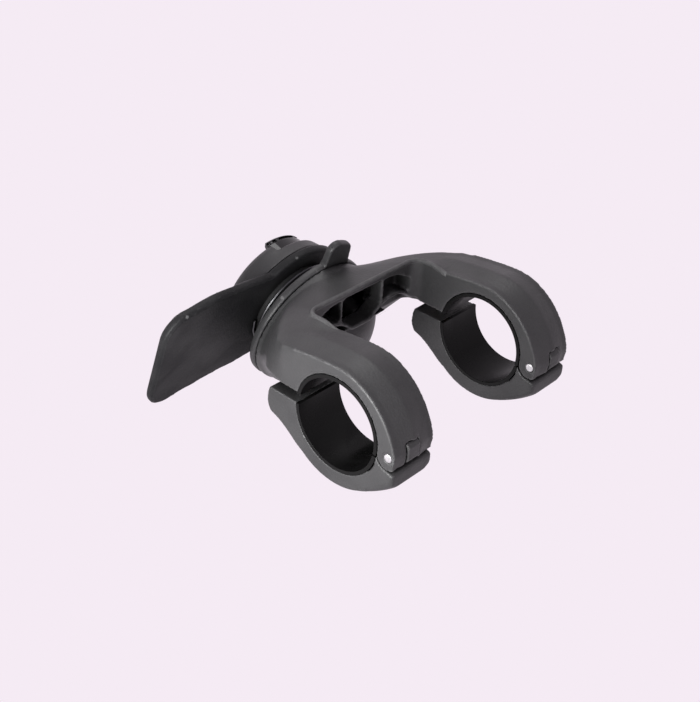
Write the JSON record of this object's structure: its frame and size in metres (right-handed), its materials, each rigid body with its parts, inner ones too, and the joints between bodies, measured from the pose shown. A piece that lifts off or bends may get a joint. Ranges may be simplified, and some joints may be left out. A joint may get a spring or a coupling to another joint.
{
  "type": "bicycle phone mount",
  "caption": "Handlebar phone mount: a one-piece yoke on hinged bar clamps either side of the stem, with a bayonet head, release lever and latch.",
  "frame": {"origin": "on the handlebar's axis, midway between the two clamps", "axes": "+X along the bar towards the right clamp, +Z along the head's axis towards the phone, +Y the way the head stands off from the bar"},
  "size_m": [0.1094, 0.0704, 0.1037],
  "materials": {
    "moulded_body": "fine-grained moulding, glass-filled nylon",
    "moulded_cap": "fine-grained moulding, glass-filled nylon",
    "moulded_lever": "fine-grained moulding, slightly smoother",
    "moulded_head": "fine-grained moulding",
    "liner_rubber": "smooth black rubber",
    "latch_plastic": "glossy black",
    "pin_steel": "bright ground pin",
    "bolt_steel": "stainless",
    "spring_steel": "spring wire",
    "insert_brass": "plain brass"
  },
  "bodies": {
    "mount": {"yoke": "moulded_body", "hinge_pin_left": "pin_steel", "hinge_pin_right": "pin_steel", "liner_fixed_left": "liner_rubber", "liner_fixed_right": "liner_rubber", "thread_insert_left": "insert_brass", "thread_insert_right": "insert_brass", "base_ring": "moulded_head", "base_screws": "bolt_steel", "return_spring": "spring_steel", "bayonet_boss": "moulded_head", "boss_screw": "bolt_steel"},
    "cap_left_body": {"cap_left": "moulded_cap", "liner_cap_left": "liner_rubber", "clamp_bolt_left": "bolt_steel", "bolt_washer_left": "bolt_steel"},
    "cap_right_body": {"cap_right": "moulded_cap", "liner_cap_right": "liner_rubber", "clamp_bolt_right": "bolt_steel", "bolt_washer_right": "bolt_steel"},
    "lever_body": {"release_lever": "moulded_lever", "latch_clip": "latch_plastic"}
  },
  "joints": [
    {"name": "cap_left_hinge", "type": "hinge", "parent": "mount", "child": "cap_left_body", "pos_m": [-0.0363, -0.00558, -0.02089], "axis": [-1, 0, 0], "range_deg": [0, 75]},
    {"name": "cap_right_hinge", "type": "hinge", "parent": "mount", "child": "cap_right_body", "pos_m": [0.0363, -0.00558, -0.02089], "axis": [-1, 0, 0], "range_deg": [0, 75]},
    {"name": "lever_slide", "type": "slide", "parent": "mount", "child": "lever_body", "axis": [0, 0, -1], "range_m": [0, 0.004], "stiffness_N_per_m": 1800, "springref_m": -0.002, "deforming": ["return_spring"]}
  ]
}
